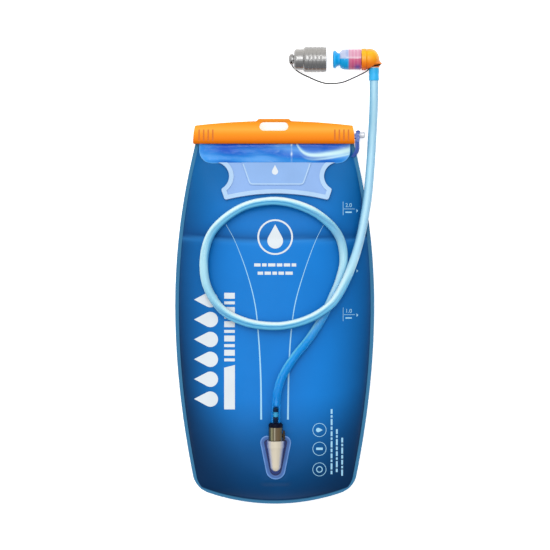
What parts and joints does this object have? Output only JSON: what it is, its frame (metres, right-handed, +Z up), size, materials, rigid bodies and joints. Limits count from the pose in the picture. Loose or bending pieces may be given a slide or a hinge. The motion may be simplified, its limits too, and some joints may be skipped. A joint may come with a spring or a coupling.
{
  "type": "hydration bladder",
  "caption": "Flat filled water bag with a slide-off top bar, quick-release outlet and looped drinking tube ending in a capped twist bite valve.",
  "frame": {"origin": "middle of the bag and its bar (without the tube and what is on it), on the surface that it lies on", "axes": "+X across the bag, +Y from the outlet end to the mouth and bar, +Z up, away from the surface"},
  "size_m": [0.2275, 0.5025, 0.0545],
  "materials": {
    "film_back": "smooth polyurethane film, slight gloss",
    "film_front": "printed polyurethane film, slight gloss",
    "film_clear": "clear glossy film",
    "rail": "gloss",
    "knob": "gloss",
    "bar_orange": "gloss",
    "plate_milky": "milky, satin",
    "flange_lavender": "translucent, satin",
    "socket_cream": "satin",
    "inner_white": "satin",
    "seal_black": "matt",
    "spring_steel": "bright",
    "smoky_olive": "smoky, gloss",
    "collar_black": "gloss",
    "button_dark": "satin",
    "tube_clear": "clear flexible tube",
    "collar_blue": "satin",
    "elbow_orange": "gloss",
    "core_pink": "gloss",
    "housing_clear": "clear, gloss",
    "bite_blue": "soft, satin",
    "cap_grey": "soft gloss",
    "cord_black": "matt"
  },
  "bodies": {
    "reservoir": {"back_panel": "film_back", "front_panel": "film_front", "mouth_film_back": "film_clear", "mouth_film_front": "film_clear", "rail_back": "rail", "rail_front": "rail", "rail_end_stop": "knob", "grip_plate": "plate_milky", "port_flange": "flange_lavender", "port_socket": "socket_cream", "poppet_spring": "spring_steel"},
    "bar": {"slider": "bar_orange"},
    "poppet": {"port_poppet": "inner_white", "poppet_seal": "seal_black"},
    "hose": {"connector_body": "smoky_olive", "connector_collar": "collar_black", "connector_barb": "collar_black", "connector_o_ring": "seal_black", "button_spring": "spring_steel", "drink_tube": "tube_clear", "tube_collar": "collar_blue", "swivel_stem": "inner_white", "swivel_o_ring": "seal_black"},
    "button": {"release_button": "button_dark"},
    "elbow": {"elbow": "elbow_orange", "core_o_ring": "seal_black", "tether_loop": "cord_black", "tether_cord": "cord_black"},
    "valve": {"valve_housing": "housing_clear", "mouthpiece": "bite_blue"},
    "core": {"valve_core": "core_pink"},
    "cap": {"dust_cap": "cap_grey"}
  },
  "joints": [
    {"name": "bar_slide", "type": "slide", "parent": "reservoir", "child": "bar", "axis": [-1, 0, 0], "range_m": [0, 0.185]},
    {"name": "connector_pull", "type": "slide", "parent": "reservoir", "child": "hose", "axis": [0, 0.9945, 0.1045], "range_m": [0, 0.016]},
    {"name": "poppet_slide", "type": "slide", "parent": "reservoir", "child": "poppet", "axis": [0, 0.9945, 0.1045], "range_m": [0, 0.0022]},
    {"name": "button_press", "type": "slide", "parent": "hose", "child": "button", "axis": [-1, 0, 0], "range_m": [0, 0.0012], "stiffness_N_per_m": 400, "deforming": ["button_spring"]},
    {"name": "elbow_swivel", "type": "hinge", "parent": "hose", "child": "elbow", "pos_m": [0.109, 0.27, 0.014], "axis": [0, 1, 0], "continuous": true},
    {"name": "valve_twist", "type": "hinge", "parent": "elbow", "child": "valve", "pos_m": [0.09, 0.2765, 0.014], "axis": [1, 0, 0], "range_deg": [0, 90]},
    {"name": "core_slide", "type": "slide", "parent": "elbow", "child": "core", "axis": [-1, 0, 0], "range_m": [0, 0.003]},
    {"name": "cap_slide", "type": "slide", "parent": "elbow", "child": "cap", "axis": [1, 0, 0], "range_m": [0, 0.0385], "deforming": ["tether_cord"]}
  ],
  "couplings": [
    {"joint": "poppet_slide", "follows": "connector_pull", "ratio": 0.1375},
    {"joint": "core_slide", "follows": "valve_twist", "m_per_rad": 0.0019}
  ]
}
